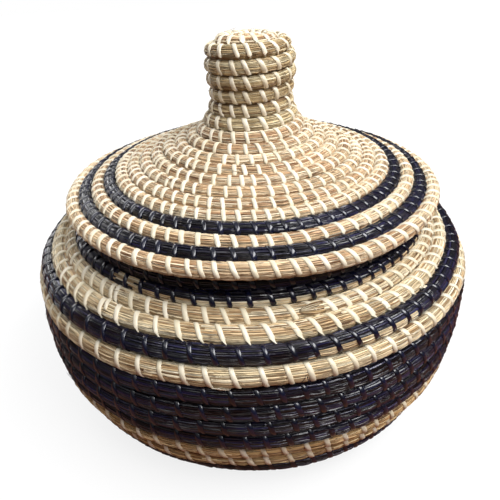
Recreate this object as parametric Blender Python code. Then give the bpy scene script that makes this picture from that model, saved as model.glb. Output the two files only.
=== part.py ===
"""A coiled basket with a lid: bundles of grass wound in spirals, one colour run after another.

Two coils make the whole object. The basket's coil starts in the middle of the base and climbs
counter-clockwise to the mouth. The lid's coil starts in the middle of the knob's top, runs down
the knob and winds clockwise out to the rim. Each run of one colour is a bundle of its own.
"""

import bisect
import math

import bpy
from mathutils import Vector
from mathutils.bvhtree import BVHTree

# The basket: places on the line through the middles of its rows, from the base up. The foot lies
# outside the base by its outset.
BASE_FLAT_RADIUS = 0.1050
FOOT_OUTSET = 0.0206
FOOT_HEIGHT = 0.0146
BELLY_RADIUS = 0.1444
BELLY_HEIGHT = 0.0850
MOUTH_RADIUS = 0.1108
MOUTH_HEIGHT = 0.1470

# Places between these: how far across and how far up they lie, from the foot to the belly for the
# wall, and from the belly to the mouth for the others
WALL_SHARES = (0.580, 0.284)
SHOULDER_SHARES = (0.140, 0.437)
SLOPE_SHARES = (0.676, 0.600)
NECK_SHARES = (0.992, 0.803)

# The lid: the same kind of places, heights counted down from the knob's top row. The knob is
# narrower at its edge and its waist by an inset, and the rim hangs over the mouth. The lid lies a
# little to the right, within its play on the mouth.
KNOB_FLAT_RADIUS = 0.0130
KNOB_RADIUS = 0.0246
KNOB_DROP = 0.0135
KNOB_EDGE_INSET = 0.0010
KNOB_EDGE_DROP = 0.0045
KNOB_WAIST_INSET = 0.0010
KNOB_WAIST_DROP = 0.0400
FLARE_RADIUS = 0.0300
FLARE_DROP = 0.0530
RIM_OVERHANG = 0.0144
RIM_DROP = 0.0945
LID_ASIDE = 0.0012

# Places between the flare and the rim: how far across and how far down they lie
CONE_SHARES = (0.341, 0.422)
BRIM_SHARES = (0.740, 0.776)

# The coils: the thickness of a row, measured from one row to the next
BASKET_COIL = 0.0114
MOUTH_COIL = 0.0078
LID_COIL = 0.0089
RIM_COIL = 0.0097

# The space between rows, between bundle ends and under the resting lid, and a bundle end's straight
# stretch. The last value is for printing.
ROW_GAP = 0.0005
END_GAP = 0.0004
END_STRAIGHT = 0.0008
SEAT_GAP = 0.0004
MILLIMETRE = 0.001

# Rows of a colour, counted from the mouth down and from the rim in. The shoulder's natural rows,
# the belly's navy rows, the cone and the knob's wall have as many as there is room for.
MOUTH_ROW_COUNT = 2
NECK_ROW_COUNT = 1
SHOULDER_NAVY_ROW_COUNT = 1
BELLY_NATURAL_ROW_COUNT = 1
LOWER_NATURAL_ROW_COUNT = 2
FOOT_ROW_COUNT = 3
RIM_ROW_COUNT = 1
OUTER_NAVY_ROW_COUNT = 1
BAND_ROW_COUNT = 1
INNER_NAVY_ROW_COUNT = 1

# How finely the coils are drawn: points on a full turn of the wide and of the narrow rows
WIDE_STEPS = 20
NARROW_STEPS = 10
NARROW_RADIUS = 0.0580
PROFILE_STEPS = 24
TUBE_SIDES = 6

# Shares of a turn: where a coil begins, how long its end takes to thin, where the seams lie round
# the axis, and how far apart two places of one bundle count as different rows
FIRST_TURN_SHARE = 0.25
TAPER_TURN_SHARE = 0.20
SEAM_TURN_SHARE = 0.25
APART_TURN_SHARE = 0.60

# The thickness that a coil's tip keeps, the least part of a step between two points, and how much
# thinner the tube is across its flat sides than across its edges
TIP_SHARE = 0.45
NEAR_SHARE = 0.20
FLAT_SHARE = math.cos(math.pi / TUBE_SIDES)

NATURAL = ("natural grass", (0.56, 0.40, 0.22, 1.0), 0.62)
NAVY = ("navy grass", (0.014, 0.013, 0.045, 1.0), 0.38)


def clear_scene():
    for obj in list(bpy.data.objects):
        bpy.data.objects.remove(obj, do_unlink=True)


def make_material(finish):
    name, colour, roughness = finish
    material = bpy.data.materials.get(name)
    if material is None:
        material = bpy.data.materials.new(name)
        material.use_nodes = True
        shader = material.node_tree.nodes["Principled BSDF"]
        shader.inputs["Base Color"].default_value = colour
        shader.inputs["Roughness"].default_value = roughness
        shader.inputs["Metallic"].default_value = 0.0
    return material


class Profile:
    """The line that the middles of the rows follow, as radius and height.

    It runs level from the axis to the first named place, and from there in one smooth curve
    through the others. Places on it are found by the length run from the axis.
    """

    def __init__(self, places):
        corners = [Vector(place) for place in places.values()]
        headings = [Vector((1.0, 0.0))]
        for before, here, after in zip(corners, corners[1:], corners[2:]):
            arriving = here - before
            leaving = after - here
            # The nearer neighbour has the greater say in the direction at a point
            heading = arriving / arriving.length_squared + leaving / leaving.length_squared
            headings.append(heading.normalized())
        headings.append((corners[-1] - corners[-2]).normalized())
        self.points = [Vector((0.0, corners[0].y)), corners[0]]
        for number, start in enumerate(corners[:-1]):
            self.add_curve(start, corners[number + 1], headings[number], headings[number + 1])
        self.lengths = [0.0]
        for before, here in zip(self.points, self.points[1:]):
            self.lengths.append(self.lengths[-1] + (here - before).length)
        self.length = self.lengths[-1]
        # The length run at each named place
        self.runs = dict(zip(places, self.lengths[1::PROFILE_STEPS]))

    def add_curve(self, start, end, heading_in, heading_out):
        pull = (end - start).length
        for step in range(1, PROFILE_STEPS + 1):
            t = step / PROFILE_STEPS
            self.points.append(
                start * (2 * t**3 - 3 * t**2 + 1)
                + heading_in * pull * (t**3 - 2 * t**2 + t)
                + end * (3 * t**2 - 2 * t**3)
                + heading_out * pull * (t**3 - t**2)
            )

    def at(self, run):
        """The place at a length run from the axis, on the last stretch's line when past the end."""
        number = 1
        while number < len(self.lengths) - 1 and self.lengths[number] < run:
            number += 1
        start = self.points[number - 1]
        end = self.points[number]
        share = (run - self.lengths[number - 1]) / (self.lengths[number] - self.lengths[number - 1])
        return start.lerp(end, share)


class Coil:
    """A spiral along a profile: one row's thickness further along it with each turn.

    Turns are counted from the axis and end at the seam. The rows are `wide` thick until the
    length `change` before the end, and reach the thickness `last` at the end.
    """

    def __init__(self, profile, wide, last, change, direction):
        self.profile = profile
        self.direction = direction
        self.runs = [profile.length]
        while self.runs[-1] > wide / 2:
            left = profile.length - self.runs[-1]
            share = min(1.0, left / change)
            row = last + (wide - last) * share
            self.runs.append(self.runs[-1] - row / WIDE_STEPS)
        self.runs.reverse()
        self.turns = (len(self.runs) - 1) / WIDE_STEPS

    def run_at(self, turn):
        """The length run from the axis at a turn."""
        place = turn * WIDE_STEPS
        number = min(max(int(math.floor(place)), 0), len(self.runs) - 2)
        before = self.runs[number]
        return before + (self.runs[number + 1] - before) * (place - number)

    def turns_left(self, name):
        """How many turns lie between a named place of the profile and the coil's end."""
        run = self.profile.runs[name]
        number = bisect.bisect_left(self.runs, run)
        before = self.runs[number - 1]
        passed = (run - before) / (self.runs[number] - before)
        return self.turns - (number - 1 + passed) / WIDE_STEPS

    def angle_at(self, turn):
        return math.tau * (SEAM_TURN_SHARE + self.direction * (turn - self.turns))

    def middle(self, turn, shift=0.0):
        """The middle of the bundle at a turn, moved back along the profile by `shift`."""
        place = self.profile.at(self.run_at(turn) - shift)
        angle = self.angle_at(turn)
        return Vector((place.x * math.cos(angle), place.x * math.sin(angle), place.y))

    def slope_at(self, turn):
        """How steeply the profile climbs at a turn, as an angle from level."""
        reach = self.profile.length / self.turns / 4
        run = self.run_at(turn)
        along = self.profile.at(run + reach) - self.profile.at(run - reach)
        return math.atan2(along.y, along.x)

    def bundle_radius(self, turn):
        """Half of what the neighbouring rows leave free, measured straight across."""
        here = self.profile.at(self.run_at(turn))
        row = self.profile.length / self.turns
        steps = WIDE_STEPS if here.x > NARROW_RADIUS + row else NARROW_STEPS
        apart = []
        for other in (turn - 1.0, turn + 1.0):
            if 0.0 <= other <= self.turns:
                apart.append((self.profile.at(self.run_at(other)) - here).length)
        between_rows = (min(apart) * math.cos(math.pi / steps) - ROW_GAP) / 2
        # At the very start the bundle is as thin as the twist round the axis needs
        return min(between_rows, here.x - ROW_GAP / 2)

    def turns_of(self, length, turn):
        """The share of a turn that a length along the row takes, at a turn."""
        return length / (math.tau * self.profile.at(self.run_at(turn)).x)

    def stations(self, first, last):
        """The turns where a run from `first` to `last` has its points.

        They lie at the same angles on every row. The ends are square to the row, because each
        has a short straight stretch.
        """
        found = [first, first + self.turns_of(END_STRAIGHT, first)]
        ending = last - self.turns_of(END_STRAIGHT, last)
        number = math.floor((first - self.turns) * WIDE_STEPS) + 1
        while self.turns + number / WIDE_STEPS < ending - NEAR_SHARE / WIDE_STEPS:
            turn = self.turns + number / WIDE_STEPS
            narrow = self.profile.at(self.run_at(turn)).x < NARROW_RADIUS
            on_step = not narrow or number % (WIDE_STEPS // NARROW_STEPS) == 0
            if on_step and turn > found[1] + NEAR_SHARE / WIDE_STEPS:
                found.append(turn)
            number += 1
        return found + [ending, last]


def taper_share(turns_from_end):
    """How much of its thickness a coil has this near its very end."""
    if turns_from_end >= TAPER_TURN_SHARE:
        return 1.0
    return TIP_SHARE + (1.0 - TIP_SHARE) * turns_from_end / TAPER_TURN_SHARE


def least_gap(places):
    """The least free space between parts of one bundle that lie well over half a turn apart."""
    least = None
    for number, (turn, middle, radius) in enumerate(places):
        for other_turn, other_middle, other_radius in places[number + 1:]:
            if other_turn - turn < APART_TURN_SHARE:
                continue
            gap = (other_middle - middle).length - radius - other_radius
            if least is None or gap < least:
                least = gap
    return least


def add_run(name, coil, first, last, finish, parent):
    """One bundle of one colour: a tube along the coil from the turn `first` to the turn `last`."""
    ends_coil = last >= coil.turns
    begins_coil = first <= FIRST_TURN_SHARE
    first_turn = first if begins_coil else first + coil.turns_of(END_GAP, first) / 2
    last_turn = last if ends_coil else last - coil.turns_of(END_GAP, last) / 2
    places = []
    for turn in coil.stations(first_turn, last_turn):
        full = coil.bundle_radius(turn)
        share = taper_share(last - turn) if ends_coil else 1.0
        # A thinning end keeps its seat on the row before it
        places.append((turn, coil.middle(turn, full * (1.0 - share)), full * share))

    curve = bpy.data.curves.new(name, "CURVE")
    curve.dimensions = "3D"
    curve.twist_mode = "Z_UP"
    curve.bevel_depth = max(radius for _, _, radius in places)
    curve.bevel_resolution = 1
    curve.render_resolution_u = 0
    curve.use_fill_caps = True
    spline = curve.splines.new("POLY")
    spline.points.add(len(places) - 1)
    for point, (turn, middle, radius) in zip(spline.points, places):
        point.co = (*middle, 1.0)
        point.radius = radius / curve.bevel_depth
        # Two edges of the six-sided tube always point at the neighbouring rows
        point.tilt = -coil.direction * coil.slope_at(turn)
    curve.materials.append(make_material(finish))
    obj = bpy.data.objects.new(name, curve)
    obj.parent = parent
    bpy.context.scene.collection.objects.link(obj)
    gap = least_gap(places)
    if gap is not None:
        print(f"{name}: least gap to itself {gap / MILLIMETRE:.2f} mm, {len(places)} points")


def between(start, end, shares):
    """The place that lies these shares of the way across and up from one place to another."""
    across_share, up_share = shares
    across = start[0] + (end[0] - start[0]) * across_share
    up = start[1] + (end[1] - start[1]) * up_share
    return across, up


def basket_profile():
    # The base lies on the flat sides of its widest bundles
    base_height = (BASKET_COIL * math.cos(math.pi / WIDE_STEPS) - ROW_GAP) / 2 * FLAT_SHARE
    foot = (BASE_FLAT_RADIUS + FOOT_OUTSET, FOOT_HEIGHT)
    belly = (BELLY_RADIUS, BELLY_HEIGHT)
    mouth = (MOUTH_RADIUS, MOUTH_HEIGHT)
    return Profile({
        "base": (BASE_FLAT_RADIUS, base_height),
        "foot": foot,
        "wall": between(foot, belly, WALL_SHARES),
        "belly": belly,
        "shoulder": between(belly, mouth, SHOULDER_SHARES),
        "slope": between(belly, mouth, SLOPE_SHARES),
        "neck": between(belly, mouth, NECK_SHARES),
        "mouth": mouth,
    })


def lid_profile():
    flare = (FLARE_RADIUS, -FLARE_DROP)
    rim = (MOUTH_RADIUS + RIM_OVERHANG, -RIM_DROP)
    return Profile({
        "top": (KNOB_FLAT_RADIUS, 0.0),
        "edge": (KNOB_RADIUS - KNOB_EDGE_INSET, -KNOB_EDGE_DROP),
        "knob": (KNOB_RADIUS, -KNOB_DROP),
        "waist": (KNOB_RADIUS - KNOB_WAIST_INSET, -KNOB_WAIST_DROP),
        "flare": flare,
        "cone": between(flare, rim, CONE_SHARES),
        "brim": between(flare, rim, BRIM_SHARES),
        "rim": rim,
    })


def rows_between(seam, *others):
    """The rows that the other bands leave of those between a seam and the end, one at least."""
    return max(1, seam - sum(others))


def runs_from_end(coil, bands):
    """Each band's name, first turn, last turn and finish, for bands listed from the coil's end in."""
    last = coil.turns
    for name, rows, finish in bands:
        first = FIRST_TURN_SHARE if rows is None else last - rows
        yield name, first, last, finish
        last = first


def world_faces(names):
    """The corners and faces of these objects as they stand, all in one list each."""
    bpy.context.view_layer.update()
    graph = bpy.context.evaluated_depsgraph_get()
    corners = []
    faces = []
    for name in names:
        obj = bpy.data.objects[name]
        mesh = obj.evaluated_get(graph).to_mesh()
        before = len(corners)
        corners.extend(obj.matrix_world @ corner.co for corner in mesh.vertices)
        faces.extend([before + number for number in face.vertices] for face in mesh.polygons)
    return corners, faces


def free_drop(upper, lower):
    """How far the upper objects can come straight down before they touch the lower ones."""
    upper_corners, upper_faces = world_faces(upper)
    lower_corners, lower_faces = world_faces(lower)
    down = Vector((0.0, 0.0, -1.0))
    drops = []
    for corners, tree, way in (
        (upper_corners, BVHTree.FromPolygons(lower_corners, lower_faces), down),
        (lower_corners, BVHTree.FromPolygons(upper_corners, upper_faces), -down),
    ):
        for corner in corners:
            distance = tree.ray_cast(corner, way)[3]
            if distance is not None:
                drops.append(distance)
    return min(drops)


def build_basket(basket):
    # The natural row of the belly begins at the first seam past the widest place, and the foot at
    # the first seam past the flat of the base
    above_belly = math.floor(basket.turns_left("belly"))
    above_base = math.floor(basket.turns_left("base"))
    low_rows = LOWER_NATURAL_ROW_COUNT + FOOT_ROW_COUNT
    edge_rows = MOUTH_ROW_COUNT + NECK_ROW_COUNT
    belly_rows = SHOULDER_NAVY_ROW_COUNT + BELLY_NATURAL_ROW_COUNT
    shoulder_rows = rows_between(above_belly, edge_rows, belly_rows)
    belly_navy_rows = rows_between(above_base, edge_rows, shoulder_rows, belly_rows, low_rows)
    bands = (
        ("mouth_navy_coil", MOUTH_ROW_COUNT, NAVY),
        ("neck_coil", NECK_ROW_COUNT, NAVY),
        ("shoulder_natural_coil", shoulder_rows, NATURAL),
        ("shoulder_navy_coil", SHOULDER_NAVY_ROW_COUNT, NAVY),
        ("belly_natural_coil", BELLY_NATURAL_ROW_COUNT, NATURAL),
        ("belly_navy_coil", belly_navy_rows, NAVY),
        ("lower_natural_coil", LOWER_NATURAL_ROW_COUNT, NATURAL),
        ("foot_navy_coil", FOOT_ROW_COUNT, NAVY),
        ("base_coil", None, NATURAL),
    )
    for name, first, last, finish in runs_from_end(basket, bands):
        add_run(name, basket, first, last, finish, None)


def build_lid(lid):
    # A spiral rim lies a quarter of a row to one side of its coil's axis, so a lid with its rim
    # centred on the mouth has its own axis that much to the other side
    holder = bpy.data.objects.new("lid_holder", None)
    holder.location = (RIM_COIL / 4 + LID_ASIDE, 0.0, MOUTH_HEIGHT + RIM_DROP + MOUTH_COIL + RIM_COIL)
    bpy.context.scene.collection.objects.link(holder)
    # The cone's first row holds the flare, and the knob's wall begins at the first seam past its
    # flat top
    outside_flare = math.ceil(lid.turns_left("flare"))
    outside_top = math.floor(lid.turns_left("top"))
    brim_rows = RIM_ROW_COUNT + OUTER_NAVY_ROW_COUNT + BAND_ROW_COUNT + INNER_NAVY_ROW_COUNT
    cone_rows = rows_between(outside_flare, brim_rows)
    knob_wall_rows = rows_between(outside_top, brim_rows, cone_rows)
    bands = (
        ("lid_rim_coil", RIM_ROW_COUNT, NATURAL),
        ("lid_outer_navy_coil", OUTER_NAVY_ROW_COUNT, NAVY),
        ("lid_band_natural_coil", BAND_ROW_COUNT, NATURAL),
        ("lid_inner_navy_coil", INNER_NAVY_ROW_COUNT, NAVY),
        ("lid_cone_coil", cone_rows, NATURAL),
        ("knob_wall_coil", knob_wall_rows, NATURAL),
        ("knob_top_coil", None, NATURAL),
    )
    for name, first, last, finish in runs_from_end(lid, bands):
        add_run(name, lid, first, last, finish, holder)
    # The outer rows come down over the mouth until the lid rests on it
    outer_rows = [name for name, rows, finish in bands[:4]]
    holder.location.z -= free_drop(outer_rows, ["mouth_navy_coil", "neck_coil"]) - SEAT_GAP
    return holder


def print_rows(label, coil, height):
    """Prints where the middles of the rows lie at the front, half a turn from the seam."""
    turn = coil.turns - 0.5
    while turn > FIRST_TURN_SHARE:
        place = coil.profile.at(coil.run_at(turn))
        across = place.x / MILLIMETRE
        up = (place.y + height) / MILLIMETRE
        print(f"{label}, {coil.turns - turn:.1f} turns in: radius {across:.1f} mm, height {up:.1f} mm")
        turn -= 1.0


clear_scene()
basket_line = basket_profile()
basket_coil = Coil(basket_line, BASKET_COIL, MOUTH_COIL, MOUTH_HEIGHT - BELLY_HEIGHT, 1.0)
lid_coil = Coil(lid_profile(), LID_COIL, RIM_COIL, RIM_COIL, -1.0)
build_basket(basket_coil)
lid_holder = build_lid(lid_coil)
print_rows("basket", basket_coil, 0.0)
print_rows("lid", lid_coil, lid_holder.location.z)
print(f"turns: basket {basket_coil.turns:.2f}, lid {lid_coil.turns:.2f}")
axis_off = lid_holder.location.x / MILLIMETRE
top_up = lid_holder.location.z / MILLIMETRE
print(f"lid: axis {axis_off:.2f} mm off, top row {top_up:.2f} mm up")
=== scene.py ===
"""The looks of a lidded coiled basket: every bundle of grass along its coil, every sewing strip."""

import math

import bmesh
import bpy
import numpy as np
from mathutils import Matrix, Vector


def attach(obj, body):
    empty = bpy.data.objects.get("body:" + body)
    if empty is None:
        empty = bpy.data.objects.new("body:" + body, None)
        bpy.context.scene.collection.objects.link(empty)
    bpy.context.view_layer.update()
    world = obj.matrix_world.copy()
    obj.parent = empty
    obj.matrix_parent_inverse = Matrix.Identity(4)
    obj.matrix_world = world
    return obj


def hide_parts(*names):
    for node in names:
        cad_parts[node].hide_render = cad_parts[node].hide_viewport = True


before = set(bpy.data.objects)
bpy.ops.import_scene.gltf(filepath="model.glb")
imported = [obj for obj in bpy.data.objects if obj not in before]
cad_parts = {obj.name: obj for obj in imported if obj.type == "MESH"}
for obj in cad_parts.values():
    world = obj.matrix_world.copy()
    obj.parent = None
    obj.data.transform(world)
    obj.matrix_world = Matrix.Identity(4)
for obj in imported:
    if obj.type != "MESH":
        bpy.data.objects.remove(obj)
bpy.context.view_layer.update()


# Base: the flat spiral that the basket stands on, a bundle of natural grass blades sewn row to row
# with cream plastic strip. It is made first, so its section also shows how every coil of the
# object is wound, filled with blades and sewn.
scene = bpy.context.scene
TURN_STEPS = 20  # as in the solids
FINE_STEP = 0.002  # of a turn
FACING_DOWN = -0.5  # a row whose way out points lower than this lies on the floor


def hand_wander(random, count, along, longest, shortest):
    """Smooth random curves along a row, count of them, mostly between -1 and 1."""
    swings, swing_size = 4, 0.45
    total = np.zeros((len(along), count))
    for _ in range(swings):
        length = random.uniform(shortest, longest, count)
        start = random.uniform(0.0, math.tau, count)
        total += np.sin(along[:, None] * math.tau / length + start) * swing_size
    return total


class Profile:
    """The line that the middles of the rows follow: radius and height by the length run on it."""

    def __init__(self, places):
        corners = np.array(places)
        headings = [np.array((1.0, 0.0))]
        for before, here, after in zip(corners, corners[1:], corners[2:]):
            heading = (here - before) / ((here - before) ** 2).sum()
            heading = heading + (after - here) / ((after - here) ** 2).sum()
            headings.append(heading / np.linalg.norm(heading))
        last = corners[-1] - corners[-2]
        headings.append(last / np.linalg.norm(last))
        points = [np.array([(0.0, corners[0][1])]), corners[:1]]
        t = np.linspace(0.0, 1.0, 25)[1:, None]
        for start, end, leaving, arriving in zip(corners, corners[1:], headings, headings[1:]):
            pull = np.linalg.norm(end - start)
            points.append(
                start * (2 * t**3 - 3 * t**2 + 1) + leaving * pull * (t**3 - 2 * t**2 + t)
                + end * (3 * t**2 - 2 * t**3) + arriving * pull * (t**3 - t**2)
            )
        # One stretch more, for what reaches past the end
        stretch = 0.02
        points.append(corners[-1:] + headings[-1] * stretch)
        self.points = np.concatenate(points)
        steps = np.linalg.norm(np.diff(self.points, axis=0), axis=1)
        self.lengths = np.concatenate([[0.0], np.cumsum(steps)])
        self.length = self.lengths[-2]

    def at(self, run):
        """Radius and height."""
        return np.stack([np.interp(run, self.lengths, column) for column in self.points.T])


class Coil:
    """A spiral along a profile, one row further out with each turn, ending at the back.

    wide is the distance between rows, last that at the end, and change the run between the two.
    direction is 1 where it winds out counter-clockwise, seen from above.
    side is 1 where the outside is on the right of the profile's run, and -1 on its left.
    held is -1 where a stitch comes down into the row before its own, and 1 for the row after.
    """

    def __init__(self, places, wide, last, change, direction, side, held, origin):
        self.profile = Profile(places)
        self.direction = direction
        self.side = side
        self.held = held
        self.origin = np.array(origin)
        runs = [self.profile.length]
        while runs[-1] > wide / 2:
            left = self.profile.length - runs[-1]
            runs.append(runs[-1] - (last + (wide - last) * min(1.0, left / change)) / TURN_STEPS)
        runs = np.array(runs[::-1])
        self.turns = (len(runs) - 1) / TURN_STEPS
        self.turn_grid = np.arange(-TURN_STEPS, len(runs) + TURN_STEPS) / TURN_STEPS
        # Before its first turn the bundle thins to a tip that is curled up in the middle
        before = runs[0] * np.arange(TURN_STEPS) / TURN_STEPS
        after = runs[-1] + (runs[-1] - runs[-2]) * np.arange(1, TURN_STEPS + 1)
        self.run_grid = np.concatenate([before, runs, after])
        self.fine_turns = np.arange(-1.0, self.turns + 1.0, FINE_STEP)
        radius = self.radius_at(self.fine_turns)
        self.fine_lengths = np.cumsum(math.tau * radius) * FINE_STEP
        # Handmade rows wander, over 50 to 300 mm: up and down, in and out, and in thickness
        random = np.random.default_rng(int(self.turns * 100))
        up_down, in_out, thickness = 0.00032, 0.00045, 0.022
        self.swings = hand_wander(random, 3, self.fine_lengths, 0.30, 0.05)
        self.swings = self.swings * (up_down, in_out, thickness)

    def run_at(self, turn):
        return np.interp(turn, self.turn_grid, self.run_grid)

    def radius_at(self, turn):
        return self.profile.at(self.run_at(turn))[0]

    def length_at(self, turn):
        """The length of row wound up to a turn."""
        return np.interp(turn, self.fine_turns, self.fine_lengths)

    def turn_at(self, length):
        return np.interp(length, self.fine_lengths, self.fine_turns)

    def half_row(self, turn):
        """Half of the straight distance to the nearer of the rows on both sides."""
        clear_of_middle, thinnest = 0.0002, 0.0004
        here, inner, outer = (
            self.profile.at(self.run_at(turn + step)) for step in (0.0, -1.0, 1.0)
        )
        apart_in = np.where(turn >= 1.0, np.linalg.norm(here - inner, axis=0), 1.0)
        apart_out = np.where(turn <= self.turns - 1.0, np.linalg.norm(here - outer, axis=0), 1.0)
        half = np.minimum(np.minimum(apart_in, apart_out) / 2, here[0] - clear_of_middle)
        half = np.maximum(half, thinnest)
        return half * (1.0 + np.interp(turn, self.fine_turns, self.swings[:, 2]))

    def frame_at(self, turn):
        """Middle of the row, the way to the next row, and the way out, at each turn."""
        look = 0.002
        run = self.run_at(turn)
        radius, height = self.profile.at(run)
        along = self.profile.at(run + look) - self.profile.at(np.maximum(run - look, 0.0))
        along = along / np.linalg.norm(along, axis=0)
        angle = math.pi / 2 + self.direction * math.tau * (turn - self.turns)
        outward = np.stack([np.cos(angle), np.sin(angle), np.zeros_like(angle)], axis=-1)
        up = np.array((0.0, 0.0, 1.0))
        middle = self.origin + outward * radius[..., None] + up * height[..., None]
        to_next = outward * along[0][..., None] + up * along[1][..., None]
        out = self.side * (outward * along[1][..., None] - up * along[0][..., None])
        # The base lies on the floor, and turns within 20 mm of the axis are too tight to wander
        tight, easing = 0.02, 0.03
        free = np.clip((radius - tight) / easing, 0.0, 1.0)
        free = free * np.where(out[..., 2] < FACING_DOWN, 0.0, 1.0)
        up_down = np.interp(turn, self.fine_turns, self.swings[:, 0]) * free
        in_out = np.interp(turn, self.fine_turns, self.swings[:, 1]) * free
        middle = middle + to_next * up_down[..., None] + out * in_out[..., None]
        return middle, to_next, out


def place_between(start, end, across, up):
    return start[0] + (end[0] - start[0]) * across, start[1] + (end[1] - start[1]) * up


# One coil makes the whole basket. Its profile runs out along the base, up the belly and in to the
# mouth. The solids are six-sided tubes, row_gap apart, which lie on a flat side in the base
belly_row, mouth_row, row_gap = 0.0114, 0.0078, 0.0005
base_flat = 0.1050
foot_place = (0.1256, 0.0146)
belly_place = (0.1444, 0.0850)
mouth_place = (0.1108, 0.1470)
tube_across = (belly_row * math.cos(math.pi / TURN_STEPS) - row_gap) / 2
basket = Coil(
    [
        (base_flat, tube_across * math.cos(math.radians(30.0))),
        foot_place,
        place_between(foot_place, belly_place, 0.580, 0.284),
        belly_place,
        place_between(belly_place, mouth_place, 0.140, 0.437),
        place_between(belly_place, mouth_place, 0.676, 0.600),
        place_between(belly_place, mouth_place, 0.992, 0.803),
        mouth_place,
    ],
    wide=belly_row, last=mouth_row, change=0.0620, direction=1.0, side=1.0, held=-1,
    origin=(0.0, 0.0, 0.0),
)


def stitch_turns(coil, spacing, drift, seed):
    """Where the coil is sewn, as turns: each stitch beside the one of the row before, if it can.

    spacing is the distance between stitches by turns from the end, and drift how much further
    round a stitch lies than its neighbour, in shares of that distance, by turns from the end.
    """
    # As turns: the first stitch, the bare last bit, and the widest step in the tight first rows
    first, bare_end, widest = -0.50, 0.02, 0.24
    # In shares of a step: how near a neighbour has to be, how far from it a stitch may stay, and
    # how much the hand misses it by
    near_enough, kept_off, miss = 0.36, 0.25, 0.05
    short_step, long_step = 0.93, 1.07
    random = np.random.default_rng(seed)
    found = [first]
    while found[-1] < coil.turns - bare_end:
        here = found[-1]
        radius = float(coil.radius_at(here))
        step = np.interp(coil.turns - here, *spacing) / (math.tau * radius)
        step = min(step, widest)
        aim = here + step * random.uniform(short_step, long_step)
        earlier = np.array(found) + 1.0 + np.interp(coil.turns - here, *drift) * step
        near = earlier[np.abs(earlier - aim).argmin()]
        if abs(near - aim) < near_enough * step:
            aim = near + kept_off * (aim - near) + step * random.uniform(-miss, miss)
        found.append(aim)
    return np.array(found[:-1])


class Sewing:
    """The stitches of a coil: where they are, how far each leans, and how the rows give way."""

    def __init__(self, coil, spacing, lean, drift, seed):
        self.coil = coil
        self.turns = stitch_turns(coil, spacing, drift, seed)
        self.lengths = coil.length_at(self.turns)
        self.gaps = np.gradient(self.lengths)
        self.lean = lean

    def shift(self, turn, phi, gap):
        """How far along the row a stitch lies at the angle phi round it."""
        past_groove = math.pi / 2 + 0.4
        lean = np.interp(self.coil.turns - turn, *self.lean)
        outer = np.clip(phi, -past_groove, past_groove)
        inside = np.clip(-self.coil.held * phi - math.pi / 2, 0.0, math.pi) / math.pi
        return -lean * outer / math.pi + self.coil.held * (gap - lean) * inside

    def pinch(self, turn, length, phi):
        """1 right under a strip, falling to 0 beside it."""
        pinch_reach = 0.0019
        around = -self.coil.held * ((-self.coil.held * phi + math.pi / 2) % math.tau - math.pi / 2)
        gap = np.interp(length, self.lengths, self.gaps)
        place = length - self.shift(turn, around, gap)
        number = np.clip(np.searchsorted(self.lengths, place), 1, len(self.lengths) - 1)
        apart = np.minimum(abs(place - self.lengths[number - 1]), abs(self.lengths[number] - place))
        return np.exp(-((apart / pinch_reach) ** 2))


# Rows are counted from the mouth down: stitches stand furthest apart on the belly, lean most on
# the shoulder, and drift round from row to row, the other way in the two rows above the foot
basket_sewing = Sewing(
    basket,
    spacing=(
        [0, 2.5, 3.5, 4.5, 5.5, 6.5, 7.5, 9, 11, 13, 30],
        [0.0100, 0.0100, 0.0106, 0.0117, 0.0124, 0.0133, 0.0130, 0.0122, 0.0112, 0.0104, 0.0098],
    ),
    lean=(
        [0, 2.7, 3.2, 4.8, 5.3, 7, 10, 12, 15, 30],
        [0.0030, 0.0036, 0.0064, 0.0068, 0.0046, 0.0046, 0.0044, 0.0060, 0.0056, 0.0034],
    ),
    drift=([0, 10.5, 11.5, 13.5, 15, 30], [0.18, 0.18, -0.30, -0.30, 0.0, 0.0]), seed=3,
)


def row_skin(coil, turn, phi, lift):
    """Points on a row's skin: phi runs from the way out to the way to the next row."""
    squareness, wide_share, outer_share, inner_share = 0.88, 0.985, 0.95, 0.84
    middle, to_next, out = coil.frame_at(turn)
    half = coil.half_row(turn)
    # The last fifth of a turn thins to half and closes on the row before it
    thin_turns, thinning = 0.20, 0.50
    thinned = half * thinning * (1.0 - np.clip((coil.turns - turn) / thin_turns, 0.0, 1.0))
    half = half - thinned
    middle = middle - to_next * thinned[..., None]
    # A basket stands on its base, so the rows are flat there, and the strips lie under them
    strip_room = 0.0007
    floor_room = np.where(out[..., 2] < FACING_DOWN, middle[..., 2] - strip_room, 1.0)
    outer_half = np.minimum(half * outer_share, floor_room)
    inner_half = half * inner_share
    cosine, sine = np.cos(phi), np.sin(phi)
    across = np.sign(sine) * np.abs(sine) ** squareness * half * wide_share
    depth = np.where(cosine > 0, outer_half, inner_half)
    depth = np.sign(cosine) * np.abs(cosine) ** squareness * depth
    across = across + sine * lift
    depth = depth + cosine * lift
    return middle + to_next * across[..., None] + out * depth[..., None]


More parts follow.
